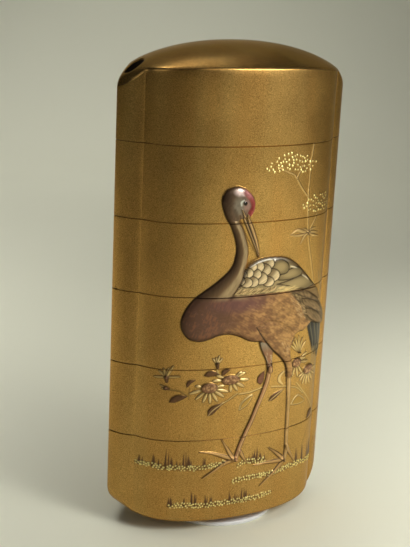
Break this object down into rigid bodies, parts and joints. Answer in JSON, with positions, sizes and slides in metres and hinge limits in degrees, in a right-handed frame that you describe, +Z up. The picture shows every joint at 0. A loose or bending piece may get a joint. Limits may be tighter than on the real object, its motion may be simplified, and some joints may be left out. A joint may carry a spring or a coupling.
{
  "type": "inro case",
  "caption": "Tiered lacquer case with a domed lid, stacked hollow compartments and side cord bores, standing on a low round disc.",
  "frame": {"origin": "on the underside of the display disc, below the middle of the case", "axes": "+Z up through the stacked cases, +X along the case's width, the decorated front faces -Y"},
  "size_m": [0.048, 0.0277, 0.0974],
  "materials": {
    "gold_lacquer": "gold-dusted lacquer over thin wood, satin, with raised figures",
    "white_disc": "smooth white"
  },
  "bodies": {
    "root": {"display_disc": "white_disc", "bottom_case": "gold_lacquer", "case_4": "gold_lacquer", "case_3": "gold_lacquer", "case_2": "gold_lacquer", "case_1": "gold_lacquer", "lid": "gold_lacquer"}
  },
  "joints": []
}
